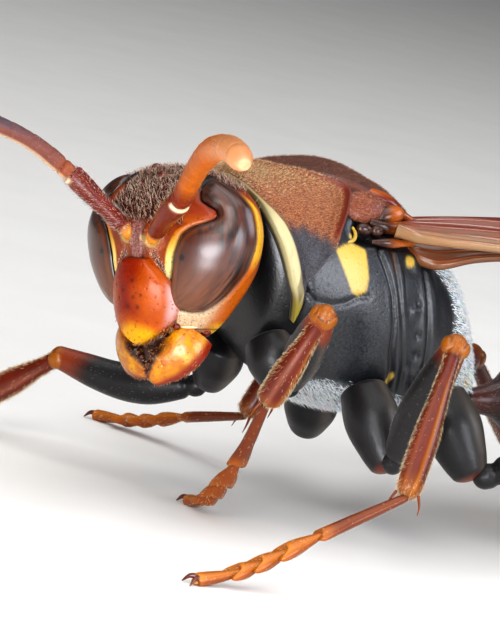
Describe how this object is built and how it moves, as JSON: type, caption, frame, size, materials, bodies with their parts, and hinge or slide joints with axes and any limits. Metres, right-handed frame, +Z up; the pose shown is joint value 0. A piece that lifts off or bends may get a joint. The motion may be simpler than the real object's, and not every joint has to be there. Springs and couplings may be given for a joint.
{
  "type": "paper wasp",
  "caption": "Paper wasp standing with wings folded along its back, feelers raised and a spindle-shaped abdomen; a still, life-size display figure.",
  "frame": {"origin": "on the floor, under the middle of the wasp's box, feelers, feet and wings included", "axes": "+Z up, the wasp faces -Y, +X is to its left"},
  "size_m": [0.0174, 0.0308, 0.0095],
  "materials": {
    "head_shell": "satin, red-orange with yellow bands",
    "face_shield": "glossy, punctured",
    "eye_lens": "glossy, dark red-brown",
    "jaw_shell": "glossy, yellow",
    "collar_shell": "velvety, red-brown with a cream ridge",
    "thorax_shell": "satin, black with grey down",
    "waist_shell": "grey down over black",
    "thigh_shell": "glossy, black with orange-red knees",
    "shin_shell": "satin, red-orange",
    "foot_shell": "satin, yellow-orange",
    "feeler_shell": "dull orange",
    "abdomen_shell": "satin, black with narrow yellow bands",
    "wing_membrane": "glossy, smoky amber"
  },
  "bodies": {
    "root": {"pronotum": "collar_shell", "mesothorax": "thorax_shell", "propodeum": "waist_shell", "propleura": "thorax_shell", "tegula_left": "collar_shell", "tegula_right": "collar_shell", "head": "head_shell", "clypeus": "face_shield", "eye_left": "eye_lens", "eye_right": "eye_lens", "mandible_left": "jaw_shell", "mandible_right": "jaw_shell", "coxa_fore_left": "thigh_shell", "femur_fore_left": "thigh_shell", "tibia_fore_left": "shin_shell", "tarsus_fore_left": "foot_shell", "coxa_fore_right": "thigh_shell", "femur_fore_right": "thigh_shell", "tibia_fore_right": "shin_shell", "tarsus_fore_right": "foot_shell", "coxa_mid_left": "thigh_shell", "femur_mid_left": "thigh_shell", "tibia_mid_left": "shin_shell", "tarsus_mid_left": "foot_shell", "coxa_mid_right": "thigh_shell", "femur_mid_right": "thigh_shell", "tibia_mid_right": "shin_shell", "tarsus_mid_right": "foot_shell", "coxa_hind_left": "thigh_shell", "femur_hind_left": "thigh_shell", "tibia_hind_left": "shin_shell", "tarsus_hind_left": "foot_shell", "coxa_hind_right": "thigh_shell", "femur_hind_right": "thigh_shell", "tibia_hind_right": "shin_shell", "tarsus_hind_right": "foot_shell", "gaster_1": "abdomen_shell", "gaster_2": "abdomen_shell", "gaster_3": "abdomen_shell", "gaster_4": "abdomen_shell", "gaster_5": "abdomen_shell", "gaster_6": "abdomen_shell", "scape_left": "head_shell", "flagellum_base_left": "feeler_shell", "flagellum_tip_left": "feeler_shell", "scape_right": "head_shell", "flagellum_base_right": "feeler_shell", "flagellum_tip_right": "feeler_shell", "forewing_left": "wing_membrane", "hindwing_left": "wing_membrane", "forewing_right": "wing_membrane", "hindwing_right": "wing_membrane"}
  },
  "joints": []
}
